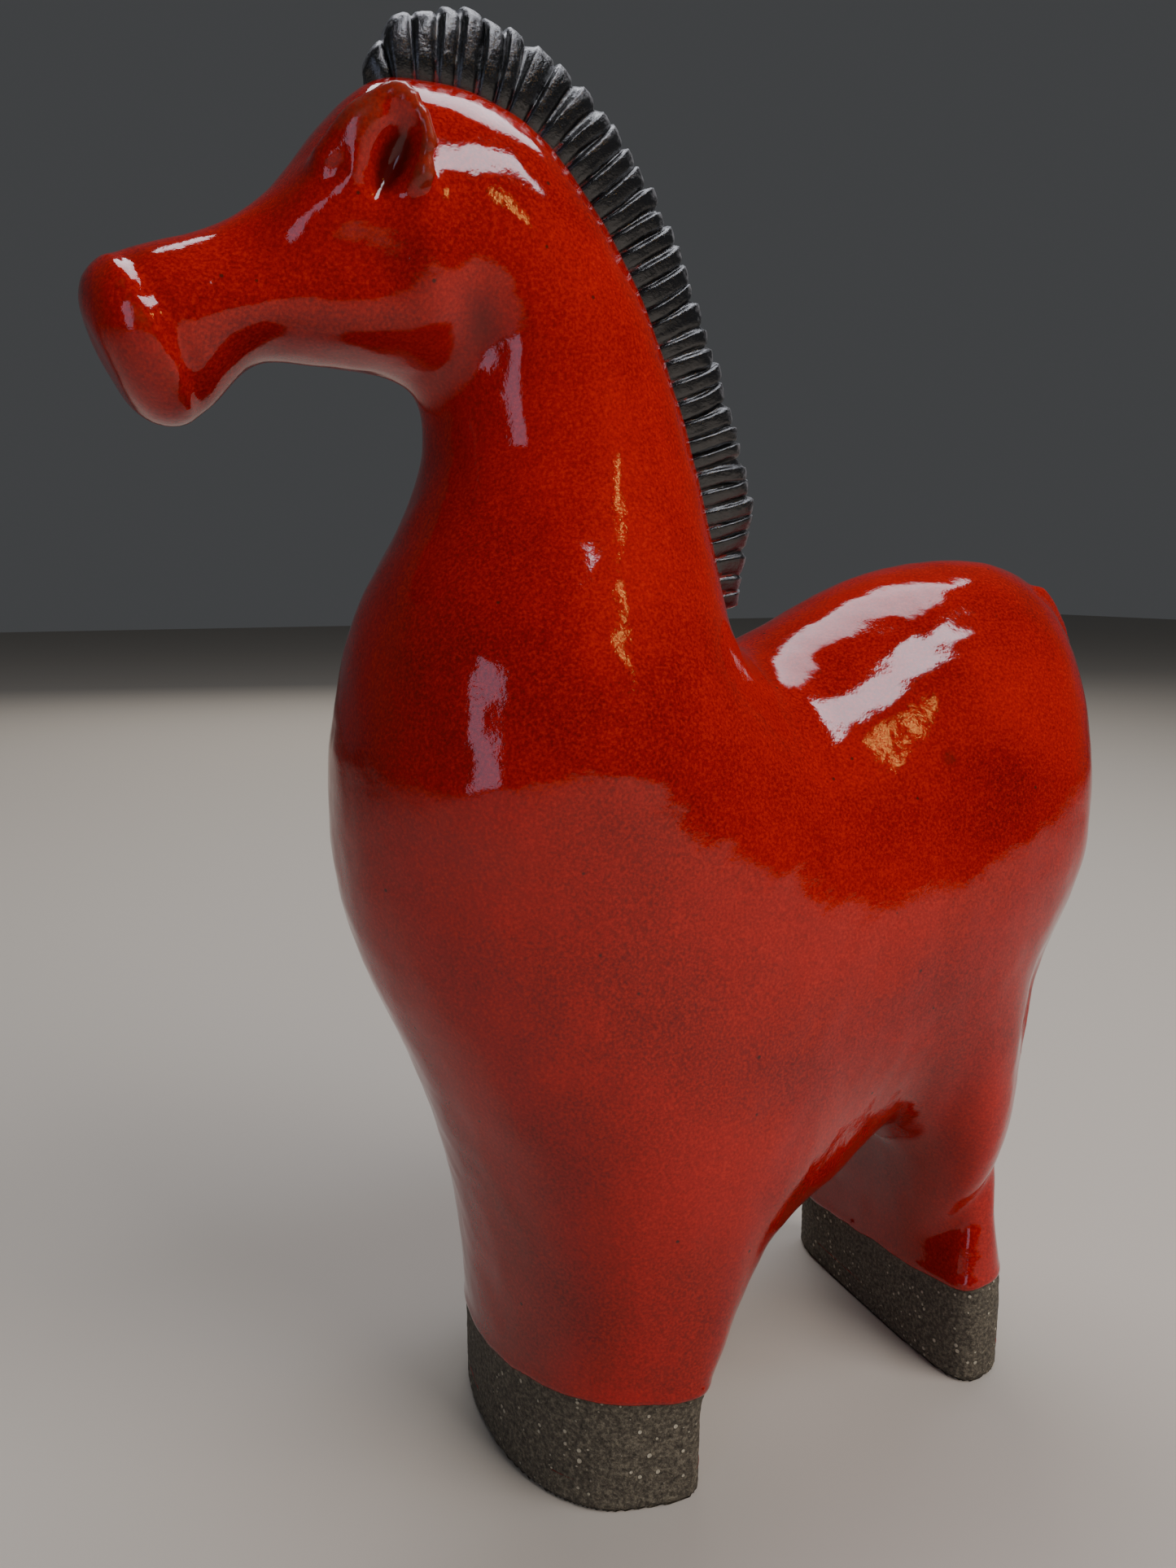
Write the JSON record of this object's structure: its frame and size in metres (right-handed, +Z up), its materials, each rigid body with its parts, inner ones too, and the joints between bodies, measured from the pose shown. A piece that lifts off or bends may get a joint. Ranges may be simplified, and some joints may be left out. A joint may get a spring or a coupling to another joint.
{
  "type": "ceramic horse figure",
  "caption": "Standing glazed stoneware horse figure with an arched neck, combed dark mane, domed muzzle, small ears and broad slab legs with bare clay feet.",
  "frame": {"origin": "centre of the bounding box's footprint, on the plane that the feet stand on", "axes": "+Z up, the horse faces -X, its left side faces -Y and its right side +Y"},
  "size_m": [0.2326, 0.0952, 0.3],
  "materials": {
    "red_glaze": "gloss",
    "dark_glaze": "semi-gloss",
    "bare_clay": "matte"
  },
  "bodies": {
    "root": {"left_shell": "red_glaze", "right_shell": "red_glaze", "muzzle_cap": "red_glaze", "left_ear": "red_glaze", "right_ear": "red_glaze", "mane": "dark_glaze", "tail": "red_glaze", "fore_foot": "bare_clay", "hind_foot": "bare_clay", "fore_sole": "bare_clay", "hind_sole": "bare_clay"}
  },
  "joints": []
}
